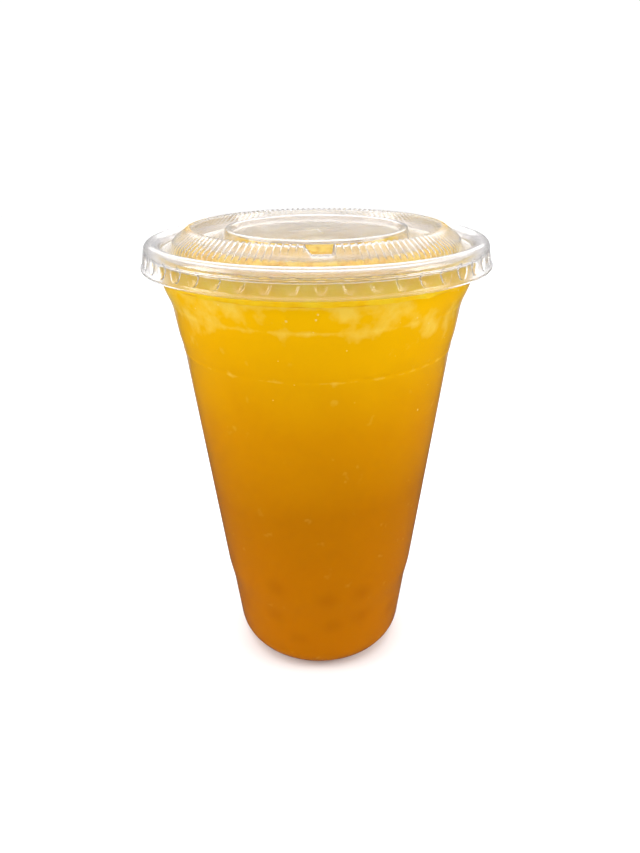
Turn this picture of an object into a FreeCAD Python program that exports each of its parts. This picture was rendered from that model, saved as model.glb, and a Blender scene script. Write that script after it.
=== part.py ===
"""Iced fruit tea in a clear plastic cup with a press-fit lid.

Three separate pieces stand on one axis: the tapered cup, the drink that fills it,
and the round lid that is pressed over the cup's rolled rim.
Millimetres, +Z up, the origin in the middle of the foot that the cup stands on,
the notch of the lid towards -Y.
"""
import FreeCAD, Part
import math
import os
import Sketcher

# ---------------------------------------------------------------- driving sizes
SIZES = {
    # cup: overall
    "cup_height": 143.0,             # floor to the top of the rolled rim
    "cup_wall": 0.6,
    "mouth_radius": 46.1,            # inside of the rim
    "roll_radius": 1.6,              # of the bead that the rim is rolled into
    # cup: the foot and the step above it, measured up and outwards from the foot
    "foot_radius": 28.8,
    "foot_round": 8.0,
    "stand_radius": 17.0,            # inner edge of the ring that it stands on
    "punt_radius": 13.0,             # raised middle of the floor
    "punt_height": 2.0,
    "low_step_base": 26.3,
    "low_step_base_gain": 2.77,
    "low_step_top": 33.3,
    "low_step_top_gain": 4.1,
    # cup: the steps under the mouth, measured down and inwards from the mouth
    "high_step_base_drop": 30.4,
    "high_step_base_inset": 5.43,
    "high_step_top_drop": 25.4,
    "high_step_top_inset": 4.34,
    "neck_base_drop": 16.4,
    "neck_base_inset": 3.11,
    "neck_top_drop": 12.8,
    "neck_top_inset": 1.65,
    "flare_drop": 10.6,
    "flare_inset": 0.95,
    # drink
    "level_drop": 9.3,               # from the top of the rim down to the surface
    "fill_gap": 0.05,                # between the drink and the cup
    # lid: sheet and fit
    "lid_wall": 0.5,
    "lid_clearance": 0.25,           # round the rolled rim
    "lid_turn": 1.1,                 # degrees, as it was pressed on
    # lid: rings from the middle outwards, inwards from the mouth and up from the rim's top
    "panel_inset": 21.7,
    "panel_rise": 2.0,
    "plateau_inner_inset": 21.1,
    "plateau_inset": 19.5,
    "plateau_rise": 3.15,
    "channel_inner_inset": 18.7,
    "channel_outer_inset": 11.1,
    "channel_rise": -0.4,
    "crest_inner_inset": 10.3,
    "crest_inset": 9.1,
    "crest_rise": 3.5,
    "slope_inset": 4.1,              # foot of the ribbed slope
    "slope_rise": -0.1,
    "groove_inner_inset": 3.1,
    "groove_lean": 0.15,             # of the groove's outer wall, which rises to the bead
    "groove_rise": -2.4,
    # lid: skirt, outwards from the bead and down from the underside of the rim
    "skirt_flare": 0.65,
    "skirt_reach": 3.3,
    "lip_out": 0.5,
    "lip_height": 0.9,
    # lid: details
    "rib_count": 128,
    "rib_height": 0.3,
    "rib_angle": 1.4,
    "lug_count": 48,
    "lug_radius": 1.1,
    "lug_reach": 0.6,                # from the underside of the rim down to a lug's middle
    "lug_bite": 0.2,                 # how far a lug stands in past the edge of the rim
    "notch_left_top": 3.9,
    "notch_left_bottom": 2.1,
    "notch_right_top": 3.3,
    "notch_right_bottom": 3.1,
    "notch_depth": 2.1,
    "notch_seat_angle": 14.0,
    "slit_length": 16.0,
    "slit_width": 0.3,
    "slit_turn": 14.0,
}
FULL_TURN = 360.0
QUARTER_TURN = 90.0
SLOPE_SHIFT = 0.4                    # share of the lid's wall that a gentle slope shifts by
UP = FreeCAD.Vector(0, 0, 1)

doc = FreeCAD.newDocument("IcedTea")
sheet = doc.addObject("Spreadsheet::Sheet", "Sizes")
for row, (alias, number) in enumerate(SIZES.items(), start=1):
    sheet.set(f"A{row}", alias)
    sheet.set(f"B{row}", str(number))
    sheet.setAlias(f"B{row}", alias)
doc.recompute()


class Length:
    """A length that carries its expression in the sheet and its present value."""

    def __init__(self, text, value):
        self.text = text
        self.value = value

    def __add__(self, other):
        return Length(f"({self.text} + {other.text})", self.value + other.value)

    def __sub__(self, other):
        return Length(f"({self.text} - {other.text})", self.value - other.value)

    def __neg__(self):
        return Length(f"(-{self.text})", -self.value)

    def __mul__(self, factor):
        return Length(f"({self.text} * {factor})", self.value * factor)


def named(alias):
    return Length(f"Sizes.{alias}", float(sheet.get(alias)))


ZERO = Length("0", 0.0)


# ---------------------------------------------------------------- sketch helpers
def new_body(name):
    body = doc.addObject("PartDesign::Body", name)
    body.Label = name
    return body


def new_sketch(body, name, role):
    """A sketch on one of the body's own origin planes."""
    sketch = body.newObject("Sketcher::SketchObject", name)
    planes = [item for item in body.Origin.OriginFeatures if item.Role == role]
    sketch.AttachmentSupport = [(planes[0], "")]
    sketch.MapMode = "FlatFace"
    return sketch


def drive(sketch, kind, geometry, point, length):
    """Hold one point of a sketch at a driven distance from the sketch's origin."""
    rule = Sketcher.Constraint(kind, -1, 1, geometry, point, length.value)
    index = sketch.addConstraint(rule)
    sketch.setExpression(f"Constraints[{index}]", length.text)


def flat_point(corner):
    across, up = corner
    return FreeCAD.Vector(across.value, up.value, 0)


def add_line(sketch, start, end):
    """A straight piece: its number, its first point and its last point."""
    line = Part.LineSegment(flat_point(start), flat_point(end))
    return sketch.addGeometry(line, False), 1, 2


def add_arch(sketch, start, end):
    """Half a circle over the top, between two corners at one height."""
    middle = (flat_point(start) + flat_point(end)) / 2
    radius = abs(start[0].value - end[0].value) / 2
    circle = Part.Circle(middle, UP, radius)
    arch = sketch.addGeometry(Part.ArcOfCircle(circle, 0.0, math.pi), False)
    drive(sketch, "DistanceY", arch, 3, start[1])
    if start[0].value > end[0].value:
        return arch, 1, 2
    return arch, 2, 1


def add_outline(sketch, corners, arches=()):
    """A closed outline through the corners, with an arch after each one listed."""
    pieces = []
    for index, start in enumerate(corners):
        end = corners[(index + 1) % len(corners)]
        add_piece = add_arch if index in arches else add_line
        pieces.append(add_piece(sketch, start, end))
    for index, (across, up) in enumerate(corners):
        geometry, first, last = pieces[index]
        before, before_first, before_last = pieces[index - 1]
        meet = Sketcher.Constraint("Coincident", before, before_last, geometry, first)
        sketch.addConstraint(meet)
        on_line = (before, before_last) if index in arches else (geometry, first)
        drive(sketch, "DistanceX", *on_line, across)
        drive(sketch, "DistanceY", *on_line, up)


def add_circle(sketch, centre, radius):
    circle = Part.Circle(flat_point(centre), UP, radius.value)
    index = sketch.addGeometry(circle, False)
    drive(sketch, "DistanceX", index, 3, centre[0])
    drive(sketch, "DistanceY", index, 3, centre[1])
    rule = sketch.addConstraint(Sketcher.Constraint("Radius", index, radius.value))
    sketch.setExpression(f"Constraints[{rule}]", radius.text)


# ---------------------------------------------------------------- feature helpers
def revolve(body, sketch, name):
    """A full turn of a sketch about the upright axis."""
    feature = body.newObject("PartDesign::Revolution", name)
    feature.Profile = sketch
    feature.ReferenceAxis = (sketch, ["V_Axis"])
    feature.Angle = FULL_TURN
    doc.recompute()
    return feature


def revolve_part(body, sketch, name, angle):
    """A short turn of a sketch, the same amount to either side of its plane."""
    feature = revolve(body, sketch, name)
    feature.Midplane = True
    feature.Angle = angle.value
    feature.setExpression("Angle", angle.text)
    doc.recompute()
    return feature


def repeat_round(body, original, name, angle):
    """A pattern of a feature about the body's upright axis, two at first."""
    axes = [item for item in body.Origin.OriginFeatures if item.Role == "Z_Axis"]
    feature = body.newObject("PartDesign::PolarPattern", name)
    feature.Originals = [original]
    feature.Axis = (axes[0], [""])
    feature.Angle = angle
    feature.Occurrences = 2
    body.Tip = feature
    return feature


def ring_edges(shape, radius, height):
    """Names of the circular edges about the axis with this radius, at this height."""
    found = []
    for number, edge in enumerate(shape.Edges, start=1):
        curve = edge.Curve
        if curve.TypeId != "Part::GeomCircle":
            continue
        same_radius = abs(curve.Radius - radius.value) < 1e-4
        if same_radius and abs(curve.Center.z - height.value) < 1e-4:
            found.append(f"Edge{number}")
    return found


def round_edges(body, base, name, edges, radius):
    feature = body.newObject("PartDesign::Fillet", name)
    feature.Base = (base, edges)
    feature.Radius = radius.value
    feature.setExpression("Radius", radius.text)
    doc.recompute()
    return feature


# ---------------------------------------------------------------- shared geometry
rim_top = named("cup_height")
roll_height = rim_top - named("roll_radius")
roll_underside = roll_height - named("roll_radius")
roll_circle = named("mouth_radius") + named("roll_radius")
wall_top = named("mouth_radius") + named("cup_wall")


def wall_corners(inset):
    """Corners of the cup's side from the foot to the rim, moved in by an amount."""
    foot = named("foot_radius")
    gains = [("low_step_base_gain", "low_step_base"), ("low_step_top_gain", "low_step_top")]
    insets = ["high_step_base", "high_step_top", "neck_base", "neck_top", "flare"]
    corners = [(foot + named(gain) - inset, named(height)) for gain, height in gains]
    for step in insets:
        across = wall_top - named(f"{step}_inset") - inset
        corners.append((across, rim_top - named(f"{step}_drop")))
    corners.append((wall_top - inset, roll_height))
    return corners


def floor_corners(lift):
    """Corners of the floor from the axis to the foot, lifted by an amount."""
    return [
        (ZERO, named("punt_height") + lift),
        (named("punt_radius"), named("punt_height") + lift),
        (named("stand_radius"), lift),
    ]


# ---------------------------------------------------------------- cup
def make_cup():
    body = new_body("cup")
    wall = named("cup_wall")
    side = new_sketch(body, "cup_side", "XZ_Plane")
    outside = floor_corners(ZERO) + [(named("foot_radius"), ZERO)] + wall_corners(ZERO)
    inside = floor_corners(wall) + [(named("foot_radius") - wall, wall)] + wall_corners(wall)
    add_outline(side, outside + inside[::-1])
    shell = revolve(body, side, "cup_shell")

    outer_foot = ring_edges(shell.Shape, named("foot_radius"), ZERO)
    outer_round = round_edges(body, shell, "foot_outside", outer_foot, named("foot_round"))
    inner_foot = ring_edges(outer_round.Shape, named("foot_radius") - wall, wall)
    inner_radius = named("foot_round") - wall
    round_edges(body, outer_round, "foot_inside", inner_foot, inner_radius)

    roll = new_sketch(body, "cup_roll", "XZ_Plane")
    add_circle(roll, (roll_circle, roll_height), named("roll_radius"))
    revolve(body, roll, "cup_rim")
    return body


# ---------------------------------------------------------------- drink
def make_drink():
    body = new_body("drink")
    skin = named("cup_wall") + named("fill_gap")
    foot = named("foot_radius") - skin
    section = new_sketch(body, "drink_section", "XZ_Plane")
    corners = floor_corners(skin) + [(foot, skin)] + wall_corners(skin)
    add_outline(section, corners + [(ZERO, roll_height)])
    full = revolve(body, section, "drink_full")
    edges = ring_edges(full.Shape, foot, skin)
    rounded = round_edges(body, full, "drink_foot", edges, named("foot_round") - skin)

    level = new_sketch(body, "drink_level", "XY_Plane")
    level.setExpression("AttachmentOffset.Base.z", (rim_top - named("level_drop")).text)
    add_circle(level, (ZERO, ZERO), wall_top)
    poured = body.newObject("PartDesign::Pocket", "drink_surface")
    poured.Profile = level
    poured.Type = "ThroughAll"
    poured.Reversed = True
    doc.recompute()
    if not poured.Shape.Volume < rounded.Shape.Volume:
        raise RuntimeError("the surface of the drink cuts nothing away")
    return body


# ---------------------------------------------------------------- lid
bead_inside = named("roll_radius") + named("lid_clearance")
bead_outside = bead_inside + named("lid_wall")
channel_outer = named("mouth_radius") - named("channel_outer_inset")
crest_inner = named("mouth_radius") - named("crest_inner_inset")
crest = named("mouth_radius") - named("crest_inset")
slope_foot = named("mouth_radius") - named("slope_inset")
skirt_radius = roll_circle + bead_outside + named("skirt_flare")
lug_inner = roll_circle + named("roll_radius") - named("lug_bite")


def lid_rings():
    """The lid's upper side from the middle to the groove inside the bead.

    Each ring is its radius, its height and the way that its underside shifts:
    -1 where the wall beside it falls outwards and 1 where the wall rises outwards.
    """
    def ring(radius, rise, shift):
        return radius, rim_top + named(rise), shift

    mouth = named("mouth_radius")
    return [
        ring(mouth - named("panel_inset"), "panel_rise", 1),
        ring(mouth - named("plateau_inner_inset"), "plateau_rise", 1),
        ring(mouth - named("plateau_inset"), "plateau_rise", -1),
        ring(mouth - named("channel_inner_inset"), "channel_rise", -1),
        ring(channel_outer, "channel_rise", 1),
        ring(crest_inner, "crest_rise", 1),
        ring(crest, "crest_rise", -SLOPE_SHIFT),
        ring(slope_foot, "slope_rise", -SLOPE_SHIFT),
        ring(mouth - named("groove_inner_inset"), "groove_rise", -1),
        ring(roll_circle - bead_outside - named("groove_lean"), "groove_rise", 1),
    ]


def lid_outline():
    """The lid's section, out along the upper side and back along the lower one."""
    wall = named("lid_wall")
    rings = lid_rings()
    middle = rim_top + named("panel_rise")
    upper = [(ZERO, middle)] + [(across, up) for across, up, shift in rings]
    upper.append((roll_circle - bead_outside, roll_height))
    arch_over = len(upper) - 1
    skirt_foot = roll_underside - named("skirt_reach")
    lip_top = skirt_foot + named("lip_height")
    upper.append((roll_circle + bead_outside, roll_height))
    upper.append((skirt_radius, lip_top))
    upper.append((skirt_radius + named("lip_out"), lip_top - named("lip_out")))
    upper.append((skirt_radius + named("lip_out"), skirt_foot))
    lower = [(skirt_radius, skirt_foot)]
    lower.append((skirt_radius - wall, lip_top))
    lower.append((roll_circle + bead_inside, roll_height))
    arch_under = len(upper) + len(lower) - 1
    lower.append((roll_circle - bead_inside, roll_height))
    for across, up, shift in rings[::-1]:
        lower.append((across + wall * shift, up - wall))
    lower.append((ZERO, middle - wall))
    return upper + lower, (arch_over, arch_under)


def add_ribs(body):
    """Fine radial ribs on the slope outside the crest."""
    sunk = named("lid_wall") * 0.5
    sketch = new_sketch(body, "rib_section", "YZ_Plane")
    crest_top = rim_top + named("crest_rise")
    slope_bottom = rim_top + named("slope_rise")
    corners = [
        (-crest, crest_top - sunk),
        (-crest - sunk, crest_top),
        (-slope_foot, slope_bottom + named("rib_height")),
        (-slope_foot, slope_bottom - sunk),
    ]
    add_outline(sketch, corners)
    rib = revolve_part(body, sketch, "rib", named("rib_angle"))
    ribs = repeat_round(body, rib, "ribs", FULL_TURN)
    ribs.setExpression("Occurrences", named("rib_count").text)
    doc.recompute()


def add_lugs(body):
    """Lugs inside the skirt that catch under the cup's rim."""
    skirt_middle = (roll_circle + bead_outside + skirt_radius - named("lid_wall")) * 0.5
    sketch = new_sketch(body, "lug_face", "XZ_Plane")
    sketch.setExpression("AttachmentOffset.Base.z", lug_inner.text)
    add_circle(sketch, (ZERO, roll_underside - named("lug_reach")), named("lug_radius"))
    lug = body.newObject("PartDesign::Pad", "lug")
    lug.Profile = sketch
    lug.setExpression("Length", (skirt_middle - lug_inner).text)
    doc.recompute()
    lugs = repeat_round(body, lug, "lugs", FULL_TURN)
    lugs.setExpression("Occurrences", named("lug_count").text)
    doc.recompute()


def add_notch(body):
    """A smooth notch in the ribbed crest, cut through a short solid stretch of it."""
    wall = named("lid_wall")
    inside = wall * 0.5
    crest_top = rim_top + named("crest_rise") - inside
    floor = rim_top + named("channel_rise") - wall
    seat = new_sketch(body, "notch_seat_section", "YZ_Plane")
    corners = [
        (-channel_outer - inside, floor),
        (-crest_inner - inside, crest_top),
        (-crest, crest_top),
        (-slope_foot, rim_top + named("slope_rise") - inside),
        (-slope_foot, floor),
    ]
    add_outline(seat, corners)
    revolve_part(body, seat, "notch_seat", named("notch_seat_angle"))

    face = new_sketch(body, "notch_face", "XZ_Plane")
    face.setExpression("AttachmentOffset.Base.z", slope_foot.text)
    top = rim_top + named("crest_rise") + named("rib_height") * 2
    bottom = rim_top + named("crest_rise") - named("notch_depth")
    corners = [
        (-named("notch_left_bottom"), bottom),
        (named("notch_right_bottom"), bottom),
        (named("notch_right_top"), top),
        (-named("notch_left_top"), top),
    ]
    add_outline(face, corners)
    notch = body.newObject("PartDesign::Pocket", "notch")
    notch.Profile = face
    length = slope_foot - channel_outer + wall * 2
    notch.setExpression("Length", length.text)
    doc.recompute()


def add_slits(body):
    """Two crossed slits for the straw in the middle of the panel."""
    half_length = named("slit_length") * 0.5
    half_width = named("slit_width") * 0.5
    sketch = new_sketch(body, "slit_outline", "XY_Plane")
    sketch.setExpression("AttachmentOffset.Base.z", (rim_top + named("plateau_rise")).text)
    sketch.setExpression("AttachmentOffset.Rotation.Angle", named("slit_turn").text)
    corners = [
        (-half_length, -half_width),
        (half_length, -half_width),
        (half_length, half_width),
        (-half_length, half_width),
    ]
    add_outline(sketch, corners)
    slit = body.newObject("PartDesign::Pocket", "slit")
    slit.Profile = sketch
    slit.Type = "ThroughAll"
    doc.recompute()
    repeat_round(body, slit, "slits", QUARTER_TURN)
    doc.recompute()


def make_lid():
    body = new_body("lid")
    section = new_sketch(body, "lid_section", "XZ_Plane")
    corners, arches = lid_outline()
    add_outline(section, corners, arches)
    revolve(body, section, "lid_sheet")
    add_ribs(body)
    add_notch(body)
    add_lugs(body)
    add_slits(body)
    body.setExpression("Placement.Rotation.Angle", named("lid_turn").text)
    doc.recompute()
    return body


# ---------------------------------------------------------------- build and export
def check_document():
    for item in doc.Objects:
        if "Invalid" in item.State or "Error" in item.State:
            raise RuntimeError(f"{item.Name} failed: {item.State}")


def export(pieces):
    os.makedirs("parts", exist_ok=True)
    for piece in pieces:
        shape = piece.Shape
        if shape.isNull() or not shape.isValid():
            raise RuntimeError(f"{piece.Label} has no valid shape")
        shape.exportStep(f"parts/{piece.Label}.step")
        print(piece.Label, "solids", len(shape.Solids), "volume", round(shape.Volume, 1))


pieces = [make_cup(), make_drink(), make_lid()]
doc.recompute()
check_document()
export(pieces)
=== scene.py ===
# %% [markdown]
# # A lidded cup of iced fruit tea
# The cup, its drink and its lid were first made as exact solids, and those solids are
# the fixed frame of this lesson: they give every size and place. Over them this script
# builds what the eye sees: thin clear sheet, cloudy tea, crushed ice, bubbles and
# pearls. Lengths are in metres, with +Z up and the cup's axis on the Z axis.

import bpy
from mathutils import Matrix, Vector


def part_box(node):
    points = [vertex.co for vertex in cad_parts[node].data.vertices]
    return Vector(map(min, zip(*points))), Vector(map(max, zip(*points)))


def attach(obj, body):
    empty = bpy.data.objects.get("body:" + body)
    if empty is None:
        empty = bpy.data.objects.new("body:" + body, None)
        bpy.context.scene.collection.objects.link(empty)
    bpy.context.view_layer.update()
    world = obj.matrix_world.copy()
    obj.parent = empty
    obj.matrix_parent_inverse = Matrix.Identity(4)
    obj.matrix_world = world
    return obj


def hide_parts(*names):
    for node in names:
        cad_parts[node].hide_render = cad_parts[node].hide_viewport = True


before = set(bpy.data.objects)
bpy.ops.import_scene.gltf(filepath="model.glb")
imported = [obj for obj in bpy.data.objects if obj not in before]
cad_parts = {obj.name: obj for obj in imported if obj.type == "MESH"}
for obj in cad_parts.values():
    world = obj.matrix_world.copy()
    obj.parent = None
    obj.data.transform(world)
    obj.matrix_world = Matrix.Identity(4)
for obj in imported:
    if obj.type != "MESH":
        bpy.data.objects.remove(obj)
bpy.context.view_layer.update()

# %% Sizes that the whole lesson shares
import math
import random

import bmesh
import bpy
from mathutils import Matrix, Vector

MM = 0.001
FULL_TURN = 2 * math.pi
cup_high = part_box("cup")[1]
lid_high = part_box("lid")[1]
drink_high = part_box("drink")[1]
rim_top = cup_high.z
rim_edge = cup_high.x
tea_level = drink_high.z
print("rim top %.4f, rim edge %.4f" % (rim_top, rim_edge))
print("tea level %.4f, lid top %.4f" % (tea_level, lid_high.z))

# %% [markdown]
# ## Small helpers for working by hand
# An operator acts on all that is selected, so each piece starts from nothing selected.
# In edit mode the points are picked by their place, the way one would drag a box round
# them on the screen, and then moved or rounded together.

# %% Helpers for objects
def deselect_all():
    if bpy.context.object and bpy.context.object.mode != "OBJECT":
        bpy.ops.object.mode_set(mode="OBJECT")
    bpy.ops.object.select_all(action="DESELECT")


def pick(piece):
    deselect_all()
    piece.select_set(True)
    bpy.context.view_layer.objects.active = piece


def report(piece):
    triangles = sum(len(face.vertices) - 2 for face in piece.data.polygons)
    print(f"{piece.name}: {len(piece.data.vertices)} points, {triangles} triangles")


# %% Helpers for edit mode
def select_points(piece, test):
    """Select the points of a piece in edit mode whose place passes a test."""
    mesh = bmesh.from_edit_mesh(piece.data)
    bpy.ops.mesh.select_mode(type="VERT")
    for point in mesh.verts:
        point.select_set(bool(test(point.co)))
    mesh.select_flush_mode()
    bmesh.update_edit_mesh(piece.data)


def radius_of(place):
    return math.hypot(place.x, place.y)


# %% [markdown]
# ## Drawing an outline and spinning it
# A cup, a lid and the drink in them are all round, and each is pressed or poured to one
# outline. So the outline is drawn first as a bent line in the XZ plane: one point is
# pushed from corner to corner with Extrude. Its corners are rounded with a vertex
# Bevel, and Spin then sweeps the line about the Z axis. A full turn ends where it
# began, so the two end lines are merged.

# %% Outline and spin
def draw_outline(name, corners):
    """A bent line through corners, given as (distance from the axis, height)."""
    deselect_all()
    bpy.ops.mesh.primitive_plane_add(size=MM)
    piece = bpy.context.object
    piece.name = name
    bpy.ops.object.mode_set(mode="EDIT")
    bpy.ops.mesh.select_mode(type="VERT")
    bpy.ops.mesh.select_all(action="SELECT")
    bpy.ops.mesh.merge(type="CENTER")
    across, up = corners[0]
    bpy.ops.transform.translate(value=(across, 0, up))
    extrude_on(corners)
    return piece


def extrude_on(corners):
    """Push the selected point on from the first corner through all the others."""
    for (across, up), (next_across, next_up) in zip(corners, corners[1:]):
        step = (next_across - across, 0, next_up - up)
        bpy.ops.mesh.extrude_region_move(TRANSFORM_OT_translate={"value": step})


def round_corners(piece, corners, radius, segments=3):
    """Round the corners of a drawn outline."""
    for across, up in corners:
        place = Vector((across, 0, up))
        select_points(piece, lambda point: (point - place).length < 1e-6)
        bpy.ops.mesh.bevel(offset=radius, segments=segments, affect="VERTICES")


def cut_rows(piece, start, end, rows):
    """Divide the straight run between two corners into rows."""
    first, last = Vector((start[0], 0, start[1])), Vector((end[0], 0, end[1]))
    select_points(piece, lambda p: (p - first).length < 1e-6 or (p - last).length < 1e-6)
    bpy.ops.mesh.subdivide(number_cuts=rows - 1)


def cut_long_runs(piece, nearest, longest):
    """Divide each run of an outline that lies away from the axis and is too long."""
    outline = bmesh.from_edit_mesh(piece.data)
    runs = [[(end.co.x, end.co.z) for end in edge.verts] for edge in outline.edges]
    for start, end in runs:
        if min(start[0], end[0]) > nearest and math.dist(start, end) > longest:
            cut_rows(piece, start, end, math.ceil(math.dist(start, end) / longest))


def spin_round(piece, steps):
    """Sweep the outline about the Z axis and close the seam."""
    bpy.ops.mesh.select_all(action="SELECT")
    bpy.ops.mesh.spin(steps=steps, angle=FULL_TURN, center=(0, 0, 0), axis=(0, 0, 1))
    bpy.ops.mesh.select_all(action="SELECT")
    bpy.ops.mesh.remove_doubles(threshold=0.002 * MM)
    bpy.ops.mesh.normals_make_consistent(inside=False)


def face_outwards(piece, place_test, direction):
    """Turn all faces if those near a chosen place point against a direction."""
    mesh = bmesh.from_edit_mesh(piece.data)
    total = Vector()
    for face in mesh.faces:
        centre = face.calc_center_median()
        if place_test(centre):
            total += face.normal * face.calc_area()
    if total.dot(direction) < 0:
        bpy.ops.mesh.select_all(action="SELECT")
        bpy.ops.mesh.flip_normals()
    print(f"{piece.name}: chosen faces point along {tuple(round(v, 6) for v in total)}")


THINNED = 0.4


def add_wall(piece, thickness, offset, group=""):
    """Give a sheet its thickness: offset -1 behind its faces, 1 in front of them.

    Where a vertex group is named, the points outside it get a thinned share.
    """
    pick(piece)
    wall = piece.modifiers.new("wall", "SOLIDIFY")
    wall.thickness = thickness
    wall.offset = offset
    wall.use_even_offset = False
    wall.vertex_group = group
    wall.thickness_vertex_group = THINNED
    bpy.ops.object.modifier_apply(modifier="wall")


def smooth(piece, degrees=40):
    pick(piece)
    bpy.ops.object.shade_smooth_by_angle(angle=math.radians(degrees))


def coat(piece, material):
    """Give a piece one material and no other."""
    piece.data.materials.clear()
    piece.data.materials.append(material)


def on_right_side(place):
    """True for a place on the tall right side of the cup or of its drink."""
    return 50 * MM < place.z < 100 * MM and place.x > abs(place.y)


# %% [markdown]
# ## The stage: floor, camera and light
# The object stands on a plain, pale floor in front of a white sky, so no horizon line
# crosses the view. The camera stands close and looks down on the lid. The light is one
# broad soft panel overhead, one to each side in front, a long one behind, and an even
# pale sky.

# %% Floor
FLOOR_SIZE = 2.4
deselect_all()
bpy.ops.mesh.primitive_plane_add(size=FLOOR_SIZE)
floor = bpy.context.object
floor.name = "floor"
floor_finish = bpy.data.materials.new("floor_paper")
floor_finish.use_nodes = True
paper = floor_finish.node_tree.nodes["Principled BSDF"]
paper.inputs["Base Color"].default_value = (0.88, 0.88, 0.88, 1)
paper.inputs["Roughness"].default_value = 0.9
paper.inputs["Specular IOR Level"].default_value = 0.1
floor.data.materials.append(floor_finish)

# %% Camera
CAMERA_PLACE = (0, -0.194137, 0.173112)
CAMERA_TILT = math.radians(64.611)
CAMERA_ROLL = math.radians(-0.519)
lens = bpy.data.cameras.new("camera")
lens.lens = 26.93
lens.sensor_width = 36
lens.shift_x = 0.0023
lens.clip_start = 0.01
camera = bpy.data.objects.new("camera", lens)
bpy.context.scene.collection.objects.link(camera)
tilt = Matrix.Rotation(CAMERA_TILT, 4, "X") @ Matrix.Rotation(CAMERA_ROLL, 4, "Z")
camera.matrix_world = Matrix.Translation(CAMERA_PLACE) @ tilt
bpy.context.scene.camera = camera

# %% Colours as they are, and enough bounces for stacked sheets of clear plastic
bpy.context.scene.view_settings.view_transform = "Standard"
bpy.context.scene.cycles.diffuse_bounces = 8
bpy.context.scene.cycles.glossy_bounces = 16
bpy.context.scene.cycles.transmission_bounces = 24
bpy.context.scene.cycles.max_bounces = 24

# %% Lights
def add_panel(name, place, aim, width, depth, power):
    panel = bpy.data.lights.new(name, "AREA")
    panel.shape = "RECTANGLE"
    panel.size = width
    panel.size_y = depth
    panel.energy = power
    lamp = bpy.data.objects.new(name, panel)
    direction = Vector(aim) - Vector(place)
    lamp.rotation_euler = direction.to_track_quat("-Z", "Y").to_euler()
    lamp.location = place
    bpy.context.scene.collection.objects.link(lamp)
    return lamp


MIDDLE = (0, 0, 0.08)
ceiling = add_panel("overhead", (0, 0.1, 0.95), MIDDLE, 1.2, 1.4, 8.0)
ceiling.visible_glossy = False
add_panel("left", (-1.05, -0.25, 0.6), MIDDLE, 0.6, 0.6, 5.5)
add_panel("right", (1.05, -0.25, 0.6), MIDDLE, 0.6, 0.6, 5.5)
add_panel("back", (0, 1.0, 0.65), MIDDLE, 1.4, 0.5, 3.0)

# %% [markdown]
# ### The sky
# Clear plastic in an all-white room turns milky, so the sky that lights the drink, the
# sky that is seen and the sky that is mirrored are kept apart. A ray that has met the
# tea has a diffuse depth of one or more: it finds an even, bright sky. A ray that
# comes straight from the camera or through the plastic finds plain white. A mirrored
# ray finds a sky that is brightest overhead, fair low behind the object and dim low
# down in front, and it misses the floor and the overhead panel.

# %% Sky
sky = bpy.data.worlds.new("sky")
sky.use_nodes = True
sky_nodes, sky_links = sky.node_tree.nodes, sky.node_tree.links


def sky_light(colour, strength):
    light = sky_nodes.new("ShaderNodeBackground")
    light.inputs["Color"].default_value = (*colour, 1)
    light.inputs["Strength"].default_value = strength
    return light


def sky_blend(share, first, second):
    blend = sky_nodes.new("ShaderNodeMixShader")
    sky_links.new(share, blend.inputs["Fac"])
    sky_links.new(first.outputs[0], blend.inputs[1])
    sky_links.new(second.outputs[0], blend.inputs[2])
    return blend


def sky_maths(operation, first, second, clamped=True):
    node = sky_nodes.new("ShaderNodeMath")
    node.operation = operation
    node.use_clamp = clamped
    for socket, value in zip(node.inputs, (first, second)):
        if isinstance(value, float):
            socket.default_value = value
        else:
            sky_links.new(value, socket)
    return node.outputs["Value"]


lighting_sky = sky_light((0.97, 0.98, 1.0), 1.05)
seen_sky = sky_light((1.0, 1.0, 1.0), 1.02)
mirrored_sky = sky_light((0.98, 0.96, 1.0), 1.0)
sky_direction = sky_nodes.new("ShaderNodeTexCoord")
sky_axes = sky_nodes.new("ShaderNodeSeparateXYZ")
sky_links.new(sky_direction.outputs["Generated"], sky_axes.inputs["Vector"])


def sky_spread(axis, low, high, to_low, to_high):
    spread = sky_nodes.new("ShaderNodeMapRange")
    for socket, number in zip(list(spread.inputs)[1:5], (low, high, to_low, to_high)):
        socket.default_value = number
    sky_links.new(sky_axes.outputs[axis], spread.inputs["Value"])
    return spread.outputs["Result"]


rising = sky_spread("Z", -0.1, 0.5, 0.08, 0.74)
behind = sky_spread("Y", 0.80, 0.97, 0.0, 0.6)
low_down = sky_spread("Z", -0.1, 0.1, 1.0, 0.0)
low_glow = sky_maths("ADD", rising, sky_maths("MULTIPLY", behind, low_down))
high_glow = sky_spread("Z", 0.35, 0.75, 0.0, 2.0)
glow = sky_maths("ADD", low_glow, high_glow, clamped=False)
sky_links.new(glow, mirrored_sky.inputs["Strength"])
ray = sky_nodes.new("ShaderNodeLightPath")
mirrored = sky_maths("SUBTRACT", ray.outputs["Is Glossy Ray"], ray.outputs["Is Transmission Ray"])
from_tea = sky_maths("MULTIPLY", ray.outputs["Diffuse Depth"], 1.0)
straight = sky_blend(mirrored, seen_sky, mirrored_sky)
all_skies = sky_blend(from_tea, straight, lighting_sky)
sky_links.new(all_skies.outputs[0], sky_nodes["World Output"].inputs["Surface"])
bpy.context.scene.world = sky
floor.visible_glossy = False

# %% [markdown]
# ## Helpers for finishes
# Every finish is a small network of nodes that read the piece's own coordinates, so
# its pattern stays put when the piece is seen from elsewhere or carried away.

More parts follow.
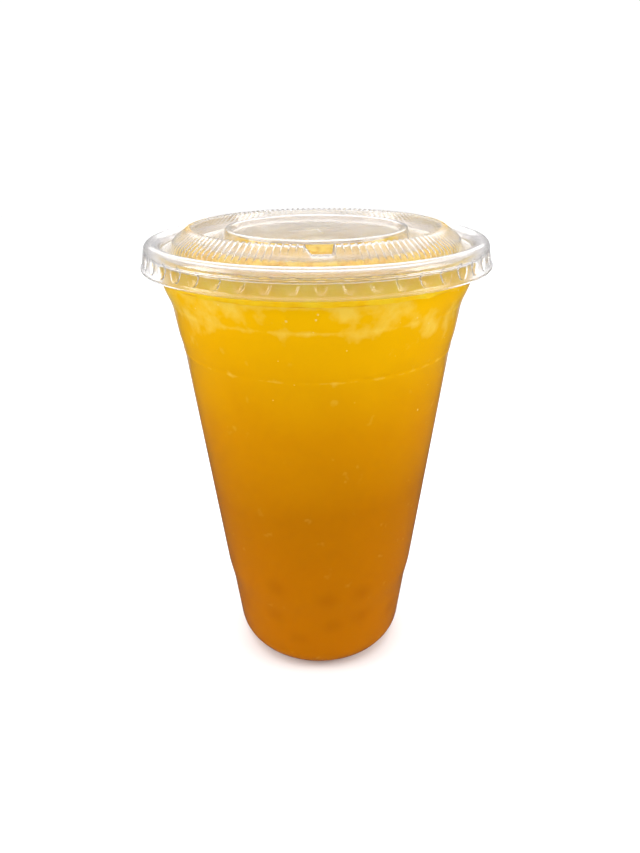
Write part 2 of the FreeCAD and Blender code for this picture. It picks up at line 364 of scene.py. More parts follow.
# %% Helpers for materials
class Finish:
    """A new material with short ways to add its nodes and join them."""

    def __init__(self, name):
        self.material = bpy.data.materials.new(name)
        self.material.use_nodes = True
        self.tree = self.material.node_tree
        self.surface = self.tree.nodes["Principled BSDF"]

    def node(self, kind, **settings):
        made = self.tree.nodes.new(kind)
        for key, value in settings.items():
            setattr(made, key, value)
        return made

    def join(self, source, target):
        self.tree.links.new(source, target)

    def plain(self, **values):
        for key, value in values.items():
            self.surface.inputs[key.replace("_", " ")].default_value = value

    def place(self):
        return self.node("ShaderNodeTexCoord").outputs["Object"]

    def noise(self, scale, detail=2.0, where=None):
        texture = self.node("ShaderNodeTexNoise")
        texture.inputs["Scale"].default_value = scale
        texture.inputs["Detail"].default_value = detail
        self.join(where or self.place(), texture.inputs["Vector"])
        return texture.outputs["Fac"]

    def ramp(self, value, stops):
        ramp = self.node("ShaderNodeValToRGB")
        while len(ramp.color_ramp.elements) < len(stops):
            ramp.color_ramp.elements.new(0.5)
        for element, (spot, colour) in zip(ramp.color_ramp.elements, stops):
            element.position = spot
            element.color = (*colour, 1)
        self.join(value, ramp.inputs["Fac"])
        return ramp.outputs["Color"]

    def scaled(self, value, low, high, to_low=0.0, to_high=1.0):
        spread = self.node("ShaderNodeMapRange")
        self.join(value, spread.inputs["Value"])
        spread.inputs["From Min"].default_value = low
        spread.inputs["From Max"].default_value = high
        spread.inputs["To Min"].default_value = to_low
        spread.inputs["To Max"].default_value = to_high
        return spread.outputs["Result"]

    def height(self, where):
        parts = self.node("ShaderNodeSeparateXYZ")
        self.join(where, parts.inputs["Vector"])
        return parts.outputs["Z"]

    def maths(self, operation, first, second):
        node = self.node("ShaderNodeMath", operation=operation)
        for socket, value in zip(node.inputs, (first, second)):
            if isinstance(value, (int, float)):
                socket.default_value = value
            else:
                self.join(value, socket)
        return node.outputs["Value"]

    def mixed(self, share, first, second):
        blend = self.node("ShaderNodeMix", data_type="RGBA")
        self.join(share, blend.inputs["Factor"])
        for name, value in (("A", first), ("B", second)):
            socket = [s for s in blend.inputs if s.name == name and s.type == "RGBA"][0]
            if isinstance(value, tuple):
                socket.default_value = (*value, 1)
            else:
                self.join(value, socket)
        return [s for s in blend.outputs if s.type == "RGBA"][0]

    def bump(self, height, strength, distance):
        bump = self.node("ShaderNodeBump")
        bump.inputs["Strength"].default_value = strength
        bump.inputs["Distance"].default_value = distance
        self.join(height, bump.inputs["Height"])
        self.join(bump.outputs["Normal"], self.surface.inputs["Normal"])


# %% [markdown]
# ### An uneven surface
# Neither pressed sheet nor wet ice is even: soft patches differ in gloss or colour, and
# the skin is faintly wavy. Both come from noise on the piece's own coordinates, so this
# is one node group, placed in each finish with its own scales.

# %% Node group for an uneven surface
uneven_surface = bpy.data.node_groups.new("uneven_surface", "ShaderNodeTree")
for name, way, kind in (
    ("Place", "INPUT", "NodeSocketVector"),
    ("Patch Scale", "INPUT", "NodeSocketFloat"),
    ("Wave Scale", "INPUT", "NodeSocketFloat"),
    ("Detail", "INPUT", "NodeSocketFloat"),
    ("Patches", "OUTPUT", "NodeSocketFloat"),
    ("Waves", "OUTPUT", "NodeSocketFloat"),
):
    uneven_surface.interface.new_socket(name, in_out=way, socket_type=kind)
given = uneven_surface.nodes.new("NodeGroupInput")
result = uneven_surface.nodes.new("NodeGroupOutput")
patch_noise = uneven_surface.nodes.new("ShaderNodeTexNoise")
wave_noise = uneven_surface.nodes.new("ShaderNodeTexNoise")
for texture, scale in ((patch_noise, "Patch Scale"), (wave_noise, "Wave Scale")):
    uneven_surface.links.new(given.outputs["Place"], texture.inputs["Vector"])
    uneven_surface.links.new(given.outputs[scale], texture.inputs["Scale"])
    uneven_surface.links.new(given.outputs["Detail"], texture.inputs["Detail"])
contrast = uneven_surface.nodes.new("ShaderNodeMapRange")
contrast.inputs["From Min"].default_value = 0.3
contrast.inputs["From Max"].default_value = 0.7
uneven_surface.links.new(patch_noise.outputs["Fac"], contrast.inputs["Value"])
uneven_surface.links.new(contrast.outputs["Result"], result.inputs["Patches"])
uneven_surface.links.new(wave_noise.outputs["Fac"], result.inputs["Waves"])


def uneven(finish, patch_scale, wave_scale, detail):
    """Place the group in a finish; gives its patches and its waves."""
    placed = finish.node("ShaderNodeGroup", node_tree=uneven_surface)
    finish.join(finish.place(), placed.inputs["Place"])
    placed.inputs["Patch Scale"].default_value = patch_scale
    placed.inputs["Wave Scale"].default_value = wave_scale
    placed.inputs["Detail"].default_value = detail
    return placed.outputs["Patches"], placed.outputs["Waves"]


# %% [markdown]
# ## The clear plastic
# Cup and lid are pressed from warm clear sheet, so both finishes are glass with a low
# refractive index. The sheet is never quite even, which a weak bump gives, and its gloss
# is a little worn. The lid's sheet is thinner and hazier: it is rougher, slightly grey,
# and not wholly clear.

# %% Clear sheet finish
def clear_sheet(name, colour, roughness, waviness, clarity, bend):
    finish = Finish(name)
    finish.plain(Base_Color=(*colour, 1), IOR=bend, Transmission_Weight=clarity)
    patches, waves = uneven(finish, 90.0, 140.0, 2.0)
    finish.join(
        finish.scaled(patches, 0.0, 1.0, roughness * 0.6, roughness * 1.6),
        finish.surface.inputs["Roughness"],
    )
    finish.bump(waves, waviness, 0.05 * MM)
    return finish.material


cup_finish = clear_sheet("clear_cup_sheet", (0.99, 0.985, 0.985), 0.03, 0.25, 1.0, 1.3)
lid_finish = clear_sheet("clear_lid_sheet", (0.905, 0.89, 0.885), 0.13, 0.25, 0.98, 1.4)

# %% [markdown]
# ## The cup
# The real cup is one thin sheet, drawn down into a mould, with a foot, a low step, two
# steps under the mouth and a rim that is rolled outwards into a bead. Only its inner
# side is drawn here, from the middle of the floor up the wall and then over and
# outwards round the roll. The wall's thickness is added on the outside, and the roll
# gets a thinned share of it.

# %% Cup outline
WALL = 0.6 * MM
ROLL = 1.6 * MM
mouth = rim_edge - 2 * ROLL
foot = 28.8 * MM - WALL
ROUND_FOOT = 8.0 * MM
roll_centre = (mouth + ROLL, rim_top - ROLL)
floor_line = [(0, 2.6 * MM), (13.0 * MM, 2.6 * MM), (17.0 * MM, WALL)]
low_steps = [(foot + 2.77 * MM, 26.3 * MM), (foot + 4.1 * MM, 33.3 * MM)]
high_steps = [
    (mouth - 5.43 * MM, rim_top - 30.4 * MM),
    (mouth - 4.34 * MM, rim_top - 25.4 * MM),
    (mouth - 3.11 * MM, rim_top - 16.4 * MM),
    (mouth - 1.65 * MM, rim_top - 12.8 * MM),
    (mouth - 0.95 * MM, rim_top - 10.6 * MM),
]


def inner_radius(height):
    """Radius of the cup's inner side at a height, along the outline's straight runs."""
    line = [(foot, ROUND_FOOT)] + low_steps + high_steps + [(mouth, roll_centre[1])]
    for (across, up), (next_across, next_up) in zip(line, line[1:]):
        if height <= next_up:
            share = max(0.0, (height - up) / (next_up - up))
            return across + (next_across - across) * share
    return mouth


# Two of the steps end in a fine ridge, drawn with four points: one just below it, its
# crown, its far side and one just above it.
RIDGE = 0.2 * MM
RIDGED = (0, 2)
ridged_steps = []
for number, (across, up) in enumerate(high_steps):
    if number in RIDGED:
        before, after = up - 0.4 * MM, up + 0.9 * MM
        ridged_steps.append((inner_radius(before), before))
        ridged_steps.append((across + RIDGE, up + 0.1 * MM))
        ridged_steps.append((inner_radius(up + 0.4 * MM) + 0.04 * MM, up + 0.4 * MM))
        ridged_steps.append((inner_radius(after), after))
    else:
        ridged_steps.append((across, up))
inside_line = floor_line + [(foot, WALL)] + low_steps + ridged_steps
cup = draw_outline("clear_cup", inside_line + [(mouth, roll_centre[1])])

# %% Roll the rim
ROLLED = math.radians(285)
ROLL_STEPS = 18
bpy.ops.mesh.spin(
    steps=ROLL_STEPS,
    angle=ROLLED,
    center=(roll_centre[0], 0, roll_centre[1]),
    axis=(0, -1, 0),
)
cup_points = [point.co for point in bmesh.from_edit_mesh(cup.data).verts]
print("roll reaches out to %.4f" % max(place.x for place in cup_points))
print("and ends at %.4f" % min(place.z for place in cup_points if place.x > mouth + 0.1 * MM))

# %% Round the corners and spin the cup
FOOT_CURVE = 7.4 * MM
FLOOR_CURVE = 1.2 * MM
LOW_CURVE = 1.6 * MM
HIGH_CURVE = 1.0 * MM
MOUTH_CURVE = 0.7 * MM
LONGEST_RUN = 6 * MM
CUP_STEPS = 160
round_corners(cup, [(foot, WALL)], FOOT_CURVE, 8)
round_corners(cup, floor_line[1:], FLOOR_CURVE, 3)
round_corners(cup, low_steps, LOW_CURVE, 4)
round_corners(cup, [high_steps[1]], HIGH_CURVE, 4)
round_corners(cup, high_steps[3:], MOUTH_CURVE, 3)
cut_long_runs(cup, foot, LONGEST_RUN)
spin_round(cup, CUP_STEPS)
face_outwards(cup, on_right_side, Vector((1, 0, 0)))
bpy.ops.object.mode_set(mode="OBJECT")
full_wall = cup.vertex_groups.new(name="full_wall")
in_wall = [p.index for p in cup.data.vertices if p.co.z < roll_centre[1] - 0.5 * MM]
full_wall.add(in_wall, 1.0, "REPLACE")
add_wall(cup, WALL, 1, "full_wall")
smooth(cup)
coat(cup, cup_finish)
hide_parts("cup")
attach(cup, "root")
report(cup)

# %% [markdown]
# ## The drink
# Liquid wets the wall, so no film of air may show between them. The drink is drawn a
# little larger than the inside of the cup, so that its skin lies within the plastic,
# and its edge climbs the wall in a small meniscus.

# %% Drink
REACH = 0.3 * MM
MENISCUS = 0.8 * MM
ROW_HEIGHT = 1.6 * MM
DRINK_STEPS = 240
wet_edge = inner_radius(tea_level) + REACH
wet_line = [(across, up - REACH) for across, up in floor_line]
wet_line += [(foot + REACH, WALL - REACH)]
wet_line += [(across + REACH, up) for across, up in low_steps + high_steps]
top_line = [(wet_edge - 2 * MENISCUS, tea_level - MENISCUS), (0, tea_level - MENISCUS)]
drink = draw_outline("fruit_tea", wet_line + [(wet_edge, tea_level)] + top_line)

# %% Round the drink's corners and spin it
WET_FOOT_CURVE = 7.68 * MM
round_corners(drink, [wet_line[3]], WET_FOOT_CURVE, 8)
round_corners(drink, wet_line[1:3], FLOOR_CURVE, 3)
round_corners(drink, wet_line[4:6], LOW_CURVE, 4)
round_corners(drink, wet_line[6:8], HIGH_CURVE, 4)
cut_long_runs(drink, foot, ROW_HEIGHT)
spin_round(drink, DRINK_STEPS)
face_outwards(drink, on_right_side, Vector((1, 0, 0)))
bpy.ops.object.mode_set(mode="OBJECT")
smooth(drink)
report(drink)

# %% [markdown]
# ### What shows dimly through the tea, and painted step highlights
# The tea is cloudy, so ice near the wall only shows as a soft pale patch and a pearl as
# a soft darker spot. Two of the wall's steps also get a pale line: a painted highlight,
# where the step would catch a line of light. Each point of the drink's skin gets one
# number for all this, its tint: above zero beside ice and along the painted highlight
# lines, below zero beside a pearl. The finish reads it.

# %% Where the ice and the pearls lie by the wall
def by_the_wall(azimuth, height, depth):
    """A place at a depth in mm behind the cup's inner side; azimuth 0 is the front."""
    turn = math.radians(azimuth)
    reach = inner_radius(height * MM) - depth * MM
    return Vector((reach * math.sin(turn), -reach * math.cos(turn), height * MM))


scatter = random.Random(7)
ICE_DEPTH = 1.0
PEARL_TINT_DEPTH = 3.6
BACK_ICE = 34
LOW_ICE = 18
BACK_PEARLS = 26

# Ice by the wall, as (azimuth in degrees, height in mm, size in mm).
ICE = [
    (-61, 130, 8), (-52, 127, 7), (-40, 128, 6), (-41, 133, 6), (-30, 133, 6),
    (-25, 131, 4), (10, 132, 5), (12, 128, 5), (24, 131, 6), (31, 132, 5),
    (43, 126, 6), (58, 127, 7), (-11, 128, 3), (-18, 131, 3),
]
ICE += [(scatter.uniform(75, 285), scatter.uniform(123, 133), scatter.uniform(3, 8))
        for lump in range(BACK_ICE)]
ICE += [(scatter.uniform(-180, 180), scatter.uniform(108, 122), scatter.uniform(0.8, 1.6))
        for lump in range(LOW_ICE)]

# Pearls by the wall, as (azimuth in degrees, height in mm).
PEARLS = [(-25, 38), (5, 35), (25, 36), (-28, 24.5), (27, 24.5), (8, 22.5), (-13, 16)]
PEARLS += [(scatter.uniform(45, 315), scatter.uniform(12, 40)) for pearl in range(BACK_PEARLS)]
PEARL_RADIUS = 3.9 * MM
ice_spots = [(by_the_wall(azimuth, height, ICE_DEPTH), size * MM)
             for azimuth, height, size in ICE]
pearl_spots = [(by_the_wall(azimuth, height, PEARL_TINT_DEPTH), PEARL_RADIUS)
               for azimuth, height in PEARLS]


# %% Paint the tint
def soft_share(distance, radius):
    """1 in the middle of a spot, falling smoothly to 0 at its radius."""
    share = max(0.0, 1 - distance / radius)
    return share * share * (3 - 2 * share)


ICY_SURFACE = 0.8
ICE_SPREAD = 1.5
PEARL_SPREAD = 1.7
# Painted highlight: a pale line along two of the steps, where each would catch a line of light.
HIGHLIGHT_LINE_WIDTH = 0.9 * MM
PAINTED_STEP_HIGHLIGHTS = ((high_steps[0], 0.45), (high_steps[2], 0.75))
tint = drink.data.attributes.new("tint", "FLOAT", "POINT")
for point, value in zip(drink.data.vertices, tint.data):
    pale = max(soft_share((point.co - place).length, ICE_SPREAD * size)
               for place, size in ice_spots)
    dark = max(soft_share((point.co - place).length, PEARL_SPREAD * size)
               for place, size in pearl_spots)
    # Painted highlight along the steps, laid on in the same pale colour as the ice.
    for (across, up), share in PAINTED_STEP_HIGHLIGHTS:
        pale = max(pale, share * soft_share(abs(point.co.z - up), HIGHLIGHT_LINE_WIDTH))
    if point.co.z > tea_level - 1.5 * MENISCUS:
        pale = max(pale, ICY_SURFACE)
    value.value = pale - dark
print("tint from %.2f to %.2f" % (
    min(value.value for value in tint.data), max(value.value for value in tint.data)))

# %% Tea finish
tea = Finish("cloudy_tea")
where = tea.place()
level = tea.scaled(tea.height(where), 0.0, tea_level)
wobble = tea.scaled(tea.noise(28.0, 3.0, where), 0.3, 0.7, -0.03, 0.03)
# The tea runs from yellow at the top to orange lower down. Part of this is the drink's own colour
# and part is painted light and shade: the tea is drawn lighter and yellower near the top, where
# more light falls.
tea_colour_and_painted_shade = tea.ramp(tea.maths("ADD", level, wobble), [
    (0.0, (0.60, 0.195, 0.0)),
    (0.30, (0.56, 0.19, 0.0)),
    (0.50, (0.54, 0.195, 0.0)),
    (0.70, (0.67, 0.29, 0.0)),
    (0.88, (0.81, 0.43, 0.0)),
    (1.0, (0.92, 0.54, 0.0)),
])
painted = tea.node("ShaderNodeAttribute", attribute_name="tint").outputs["Fac"]
lumps = tea.scaled(tea.noise(230.0, 4.0, where), 0.25, 0.75, -0.95, 0.2)
paleness = tea.scaled(tea.maths("ADD", painted, lumps), 0.0, 0.8, 0.0, 0.7)
darkness = tea.scaled(painted, 0.0, -1.0, 0.0, 0.5)
# This pale colour serves both the ice patches and the painted step highlights.
with_ice_and_highlight = tea.mixed(paleness, tea_colour_and_painted_shade, (0.95, 0.70, 0.11))
with_pearls = tea.mixed(darkness, with_ice_and_highlight, (0.30, 0.07, 0.0))
tea.join(with_pearls, tea.surface.inputs["Base Color"])
tea.plain(Roughness=0.5, IOR=1.33, Specular_IOR_Level=0.0)
coat(drink, tea.material)
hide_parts("drink")
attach(drink, "root")

# %% [markdown]
# ### Crushed ice
# Crushed ice has no two pieces alike, but three shapes, turned and stretched at random,
# are enough. Each begins as a coarse ball whose points are shaken. They lie loose on a
# heap of packed, tea-soaked ice, which is one spun piece. Two Displace modifiers make
# its top lumpy. What touches the wall is pressed flat along it.

# %% One piece of crushed ice
def ice_shape(name, seed, shake):
    deselect_all()
    bpy.ops.mesh.primitive_ico_sphere_add(subdivisions=2, radius=1)
    shape = bpy.context.object
    shape.name = name
    bpy.ops.object.mode_set(mode="EDIT")
    bpy.ops.mesh.select_all(action="SELECT")
    bpy.ops.transform.vertex_random(offset=shake, uniform=1.0, seed=seed)
    bpy.ops.transform.resize(value=(1.0, 0.75, 0.6))
    bpy.ops.object.mode_set(mode="OBJECT")
    return shape


def scattered(shapes, name, places):
    """Copies of the shapes, each with its own turn and size, as one piece."""
    copies = []
    for place, size in places:
        shape = scatter.choice(shapes)
        turns = [Matrix.Rotation(scatter.uniform(0, FULL_TURN), 4, axis) for axis in "XYZ"]
        stretch = Matrix.Diagonal((size, size * scatter.uniform(0.7, 1.0), size, 1))
        mesh = shape.data.copy()
        mesh.transform(Matrix.Translation(place) @ turns[0] @ turns[1] @ turns[2] @ stretch)
        copy = bpy.data.objects.new(name, mesh)
        bpy.context.scene.collection.objects.link(copy)
        copies.append(copy)
    deselect_all()
    for copy in copies:
        copy.select_set(True)
    bpy.context.view_layer.objects.active = copies[0]
    bpy.ops.object.join()
    for shape in shapes:
        bpy.data.objects.remove(shape)
    return bpy.context.object


# %% Packed ice
ICE_REACH = 0.42 * MM
HEAP_SLOPE = math.radians(1.7)
heap_middle = rim_top - 5.6 * MM
HEAP_CAP = 1.3 * MM
HEAP_DIP = 1.0 * MM
HEAP_EDGE = 1.8 * MM
PACKED_ROW = 1.1 * MM
PACKED_FLOOR = 2 * MM
ICE_STEPS = 200


def heap_top(place):
    """How high the ice may reach: nearly to the lid in front, lower at the back."""
    return heap_middle + HEAP_CAP - math.tan(HEAP_SLOPE) * place.y


def press_in(piece):
    """Pull points back to the cup's inner side and down under the heap's top."""
    for point in piece.data.vertices:
        point.co.z = min(point.co.z, heap_top(point.co))
        limit = inner_radius(point.co.z) + ICE_REACH
        away = radius_of(point.co)
        if away > limit:
            point.co.x *= limit / away
            point.co.y *= limit / away


packed_low = tea_level + 0.1 * MM
packed_corners = [
    (0, packed_low - PACKED_FLOOR),
    (mouth - 4.0 * MM, packed_low - PACKED_FLOOR),
    (inner_radius(packed_low) + ICE_REACH, packed_low),
    (inner_radius(heap_middle) + ICE_REACH, heap_middle + HEAP_EDGE),
    (mouth - 2.5 * MM, heap_middle + HEAP_EDGE),
    (mouth - 8.0 * MM, heap_middle - HEAP_DIP),
    (0, heap_middle - HEAP_DIP),
]
packed = draw_outline("packed_ice", packed_corners)
for start, end in zip(packed_corners[2:], packed_corners[3:]):
    cut_rows(packed, start, end, max(2, round(math.dist(start, end) / PACKED_ROW)))
spin_round(packed, ICE_STEPS)
face_outwards(packed, lambda c: c.z > tea_level and radius_of(c) < 20 * MM, Vector((0, 0, 1)))
select_points(packed, lambda p: p.z > heap_middle - HEAP_DIP - 0.1 * MM)
bpy.ops.transform.rotate(
    value=HEAP_SLOPE, orient_axis="X", center_override=(0, 0, heap_middle)
)
bpy.ops.object.mode_set(mode="OBJECT")
front = min(point.co.y for point in packed.data.vertices)
near_front = [point.co.z for point in packed.data.vertices if point.co.y < front * 0.9]
print("heap top in front %.4f" % max(near_front))

# %% Lumps in the packed ice
LUMPY_DEPTH = 2.4 * MM
LOW_EDGE_SHARE = 0.4
group = packed.vertex_groups.new(name="top")
upper = [p.index for p in packed.data.vertices if p.co.z > heap_middle - LUMPY_DEPTH]
group.add(upper, 1.0, "REPLACE")
edge = [p.index for p in packed.data.vertices if abs(p.co.z - packed_low) < 0.01 * MM]
group.add(edge, LOW_EDGE_SHARE, "REPLACE")
for name, size, strength in (("lumps", 5.0, 3.2), ("crumbs", 1.8, 1.2)):
    pattern = bpy.data.textures.new(name, "CLOUDS")
    pattern.noise_scale = size * MM
    shaken = packed.modifiers.new(name, "DISPLACE")
    shaken.texture = pattern
    shaken.texture_coords = "LOCAL"
    shaken.direction = "Z"
    shaken.vertex_group = "top"
    shaken.strength = strength * MM
    pick(packed)
    bpy.ops.object.modifier_apply(modifier=name)
press_in(packed)
smooth(packed, 60)
report(packed)

# %% Scatter loose ice over it
LOOSE_PIECES = 300
LOOSE_EDGE = 43.5 * MM
places = []
for crumb in range(LOOSE_PIECES):
    away = LOOSE_EDGE * math.sqrt(scatter.random())
    turn = scatter.uniform(0, FULL_TURN)
    place = Vector((away * math.sin(turn), -away * math.cos(turn), 0))
    place.z = heap_top(place) - scatter.uniform(1.2, 2.6) * MM
    places.append((place, scatter.uniform(1.4, 3.4) * MM))
shapes = [ice_shape("ice_a", 1, 0.35), ice_shape("ice_b", 2, 0.3), ice_shape("ice_c", 5, 0.4)]
ice = scattered(shapes, "crushed_ice", places)
press_in(ice)
smooth(ice, 30)
report(ice)

# %% Ice finish
def wet_ice(name, deep, pale):
    finish = Finish(name)
    patches, waves = uneven(finish, 220.0, 600.0, 3.0)
    finish.join(finish.mixed(patches, deep, pale), finish.surface.inputs["Base Color"])
    finish.plain(Roughness=0.35, IOR=1.31, Specular_IOR_Level=0.2)
    finish.bump(waves, 0.5, 0.2 * MM)
    return finish.material


for piece, finish in (
    (ice, wet_ice("wet_loose_ice", (0.97, 0.69, 0.03), (0.99, 0.80, 0.11))),
    (packed, wet_ice("wet_packed_ice", (1.0, 0.62, 0.0), (1.0, 0.73, 0.03))),
):
    coat(piece, finish)
    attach(piece, "root")

# %% [markdown]
# ### Bubbles
# Small bubbles cling to the inside of the wall, most of them near the top. None is a
# perfect ball: one is made a little flat and uneven, and all the others are its copies.

# %% Bubbles
BUBBLES = 110
HIGHEST_BUBBLE = 133.0
BUBBLE_SPAN = 40.0
BUBBLE_DEPTH = 0.05
deselect_all()
bpy.ops.mesh.primitive_ico_sphere_add(subdivisions=2, radius=1)
bubble = bpy.context.object
bubble.name = "bubble"
bpy.ops.object.mode_set(mode="EDIT")
bpy.ops.mesh.select_all(action="SELECT")
bpy.ops.transform.vertex_random(offset=0.04, uniform=1.0, seed=4)
bpy.ops.transform.resize(value=(1.0, 1.0, 0.9))
bpy.ops.object.mode_set(mode="OBJECT")
places = []
for spot in range(BUBBLES):
    height = HIGHEST_BUBBLE - BUBBLE_SPAN * scatter.random() ** 2
    size = scatter.uniform(0.25, 0.6) * MM
    azimuth = scatter.uniform(-180, 180)
    places.append((by_the_wall(azimuth, height, BUBBLE_DEPTH), size))
bubbles = scattered([bubble], "bubbles", places)
press_in(bubbles)
smooth(bubbles, 60)
froth = Finish("bubble_skin")
froth.join(
    froth.mixed(froth.noise(300.0), (0.92, 0.60, 0.05), (0.96, 0.74, 0.22)),
    froth.surface.inputs["Base Color"],
)
froth.plain(Roughness=0.3, IOR=1.33, Specular_IOR_Level=0.3)
coat(bubbles, froth.material)
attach(bubbles, "root")
report(bubbles)

# %% [markdown]
# ### Pearls
# The chewy pearls lie low in the cup. The cloudy tea hides nearly all of them. They are
# made all the same, as slightly uneven balls, so that the drink holds what it should.

# %% Pearls
deselect_all()
bpy.ops.mesh.primitive_uv_sphere_add(segments=20, ring_count=12, radius=1)
pearl = bpy.context.object
pearl.name = "pearl"
bpy.ops.object.mode_set(mode="EDIT")
bpy.ops.mesh.select_all(action="SELECT")
bpy.ops.transform.vertex_random(offset=0.02, uniform=1.0, seed=3)
bpy.ops.object.mode_set(mode="OBJECT")
PEARL_DEPTH = 4.3
places = [(by_the_wall(azimuth, height, PEARL_DEPTH), PEARL_RADIUS)
          for azimuth, height in PEARLS]
pearls = scattered([pearl], "fruit_pearls", places)
smooth(pearls, 80)
chewy = Finish("pearl_skin")
chewy.join(
    chewy.mixed(chewy.noise(400.0), (0.55, 0.16, 0.01), (0.70, 0.26, 0.02)),
    chewy.surface.inputs["Base Color"],
)
chewy.plain(Roughness=0.2, IOR=1.4)
coat(pearls, chewy.material)
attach(pearls, "root")
report(pearls)

# %% [markdown]
# ## The lid
# The lid is one pressed sheet: a skirt that grips the rim, a bead over the rim, a
# groove, a slope with fine ribs up to a crest, a sunk channel, a low plateau and a flat
# panel with two crossed slits for the straw. Its upper side is drawn from the panel
# outwards. The bead is half a circle, spun up and over the rim as the rim's own roll
# is. The outline is then spun round, with six columns of faces to each rib and sixteen
# to each lug of the skirt.

# %% Lid outline
SHEET = 0.25 * MM
BEAD = 2.35 * MM
RIBS = 128
LUGS = 48
BEAD_STEPS = 12
RIB_COLUMNS = 6
COLUMNS = RIBS * RIB_COLUMNS
bead_centre = roll_centre
panel_edge = (24.4 * MM, rim_top + 2.0 * MM)
plateau = [(25.0 * MM, rim_top + 3.15 * MM), (26.6 * MM, rim_top + 3.15 * MM)]
channel = [(27.4 * MM, rim_top - 0.4 * MM), (35.0 * MM, rim_top - 0.4 * MM)]
crest = [(35.8 * MM, rim_top + 3.5 * MM), (37.0 * MM, rim_top + 3.5 * MM)]
slope_foot = (42.0 * MM, rim_top - 0.1 * MM)
groove = [(43.0 * MM, rim_top - 2.4 * MM), (45.2 * MM, rim_top - 2.4 * MM)]
bead_start = (bead_centre[0] - BEAD, bead_centre[1])
skirt_top = (bead_centre[0] + BEAD, bead_centre[1])
skirt_foot = (50.7 * MM, rim_top - 5.6 * MM)
lip = [(51.2 * MM, rim_top - 6.1 * MM), (51.2 * MM, rim_top - 6.5 * MM)]
print("panel edge", panel_edge, "bead", bead_start, "skirt foot", skirt_foot)


def on_crest(place):
    return 36 * MM < radius_of(place) < 37 * MM


lid_line = [panel_edge] + plateau + channel + crest + [slope_foot] + groove + [bead_start]
lid = draw_outline("clear_lid", lid_line)
bpy.ops.mesh.spin(
    steps=BEAD_STEPS,
    angle=math.pi,
    center=(bead_centre[0], 0, bead_centre[1]),
    axis=(0, -1, 0),
)
lid_points = bmesh.from_edit_mesh(lid.data).verts
print("bead rises to %.4f" % max(p.co.z for p in lid_points if p.co.x > bead_start[0]))
extrude_on([skirt_top, skirt_foot] + lip)

# %% Cross rows for the ribs and the lugs
TALL_CURVE = 0.35 * MM
SMALL_CURVE = 0.3 * MM
cut_rows(lid, crest[1], slope_foot, 5)
cut_rows(lid, skirt_top, skirt_foot, 12)
cut_rows(lid, channel[0], channel[1], 2)
round_corners(lid, [plateau[1], channel[0], channel[1], crest[0], crest[1]], TALL_CURVE, 2)
round_corners(lid, [plateau[0], groove[0], groove[1], skirt_foot], SMALL_CURVE, 2)
print("lid outline has", len(bmesh.from_edit_mesh(lid.data).verts), "points")
spin_round(lid, COLUMNS)
face_outwards(lid, on_crest, Vector((0, 0, 1)))

# %% [markdown]
# ### Ribs
# The ribs stiffen the slope. Of the six columns of points to each rib, two are pushed
# out along their normals, which leaves a flat valley, a ridge and two flanks. The
# crest's outer edge is pushed with them, so the ribs show as teeth along the top. A
# narrow strip at the front stays smooth.

# %% Push out the ribs
RIB_HEIGHT = 0.38 * MM
STRIP = 0.85 * MM


def column_of(place):
    """Which column a point lies in, counted from the front."""
    angle = math.atan2(place.x, -place.y)
    return round(angle / FULL_TURN * COLUMNS) % COLUMNS


def in_front(place, left, right):
    return place.y < 0 and left < place.x < right


def on_rib(place):
    ribbed = crest[0][0] + 0.2 * MM < radius_of(place) < slope_foot[0] - 0.6 * MM
    smooth_strip = in_front(place, -STRIP, STRIP)
    raised = column_of(place) % RIB_COLUMNS in (0, 1)
    return ribbed and place.z > slope_foot[1] and raised and not smooth_strip


select_points(lid, on_rib)
bpy.ops.transform.shrink_fatten(value=RIB_HEIGHT)

# %% [markdown]
# ### Notch
# One short stretch of the crest is pressed down at the front. Its points are flattened
# onto the notch's floor with a scale of zero in height. At the left side, which leans
# more than the right, three ledges lead down to that floor.

# %% Press the notch
NOTCH_SIDES = (-3.9 * MM, 3.3 * MM)
NOTCH_FLOOR = rim_top + 1.4 * MM
NOTCH_DEPTH = 2.1 * MM
LEAN = 1.8 * MM
for step in (3, 2, 1, 0):
    left = NOTCH_SIDES[0] + LEAN * (4 - step) / 4
    ledge = NOTCH_FLOOR + NOTCH_DEPTH * step / 4
    select_points(lid, lambda p: in_front(p, left, NOTCH_SIDES[1]) and p.z > ledge
                  and channel[1][0] - 0.2 * MM < radius_of(p) < slope_foot[0])
    bpy.ops.transform.resize(value=(1, 1, 0), center_override=(0, 0, ledge))

# %% [markdown]
# ### Lugs
# Forty-eight drop-shaped lugs are pressed into the skirt, and they catch under the
# cup's rim. Each is pushed in by four smaller and smaller drops, which gives it
# sloping sides.

# %% Press the lugs
LUG_MIDDLE = rim_top - 3.4 * MM
LUG_HALF_HEIGHT = 1.8 * MM
LUG_HALF_WIDTH = 2.0 * MM


def in_lug(place, share):
    """True within a share of the drop-shaped outline of the nearest lug."""
    up = (place.z - LUG_MIDDLE) / LUG_HALF_HEIGHT
    if radius_of(place) < skirt_top[0] - 0.3 * MM or abs(up) > 1:
        return False
    turn = math.atan2(place.x, -place.y) * LUGS / FULL_TURN
    aside = abs(turn - round(turn)) * FULL_TURN / LUGS * radius_of(place)
    aside /= LUG_HALF_WIDTH * (0.8 + 0.25 * up)
    return math.hypot(aside, up) < share


for share, push in ((1.0, 0.34), (0.8, 0.22), (0.6, 0.14), (0.4, 0.08)):
    select_points(lid, lambda p: in_lug(p, share))
    bpy.ops.transform.shrink_fatten(value=-push * MM)

# %% [markdown]
# ### Panel
# The middle is flat. Its edge is extruded inwards to a ring round the slits and the
# rest filled with one face, which eight Bisect cuts divide along the sides and ends of
# two crossed slits. The faces in the slits are deleted, and the corners of the four
# flaps lifted a little, as a straw leaves them.

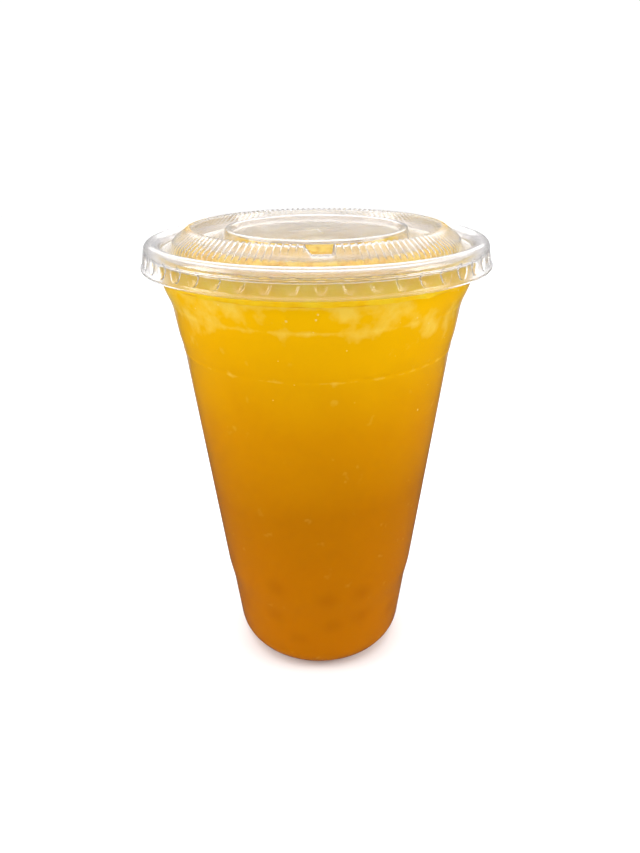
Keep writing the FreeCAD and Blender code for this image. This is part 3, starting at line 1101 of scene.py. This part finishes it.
# %% Panel and slits
SLIT_LENGTH = 16.0 * MM
SLIT_WIDTH = 0.5 * MM
SLIT_TURN = math.radians(14)
FLAP_RING = 9.5 * MM
FLAP_LIFT = 0.35 * MM
panel_height = panel_edge[1]
panel_centre = (0, 0, panel_height)
select_points(lid, lambda p: radius_of(p) < panel_edge[0] + 0.05 * MM)
bpy.ops.mesh.extrude_region_move()
shrink = FLAP_RING / panel_edge[0]
bpy.ops.transform.resize(value=(shrink, shrink, 1), center_override=panel_centre)
bpy.ops.mesh.edge_face_add()
for turn in (SLIT_TURN, SLIT_TURN + math.pi / 2):
    along = Vector((math.cos(turn), math.sin(turn), 0))
    across = Vector((-along.y, along.x, 0))
    for side in (-1, 1):
        for way, reach in ((across, SLIT_WIDTH / 2), (along, SLIT_LENGTH / 2)):
            select_points(lid, lambda p: radius_of(p) < FLAP_RING + 0.05 * MM)
            cut_at = Vector(panel_centre) + way * reach * side
            bpy.ops.mesh.bisect(plane_co=cut_at, plane_no=way)
panel_mesh = bmesh.from_edit_mesh(lid.data)
bpy.ops.mesh.select_mode(type="FACE")
for face in panel_mesh.faces:
    centre = face.calc_center_median()
    inside = False
    for turn in (SLIT_TURN, SLIT_TURN + math.pi / 2):
        along = abs(centre.x * math.cos(turn) + centre.y * math.sin(turn))
        across = abs(centre.y * math.cos(turn) - centre.x * math.sin(turn))
        inside |= along < SLIT_LENGTH / 2 and across < SLIT_WIDTH / 2
    face.select_set(inside and radius_of(centre) < FLAP_RING)
bmesh.update_edit_mesh(lid.data)
bpy.ops.mesh.delete(type="FACE")
select_points(lid, lambda p: radius_of(p) < SLIT_WIDTH)
bpy.ops.transform.translate(value=(0, 0, FLAP_LIFT))

# %% Finish the lid sheet
LID_TURN = math.radians(1.1)
bpy.ops.mesh.select_mode(type="VERT")
bpy.ops.mesh.select_all(action="SELECT")
bpy.ops.mesh.normals_make_consistent(inside=False)
face_outwards(lid, on_crest, Vector((0, 0, 1)))
bpy.ops.object.mode_set(mode="OBJECT")
lid.data.transform(Matrix.Rotation(LID_TURN, 4, "Z"))
add_wall(lid, SHEET, -1)
smooth(lid, 50)
coat(lid, lid_finish)
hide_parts("lid")
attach(lid, "root")
report(lid)
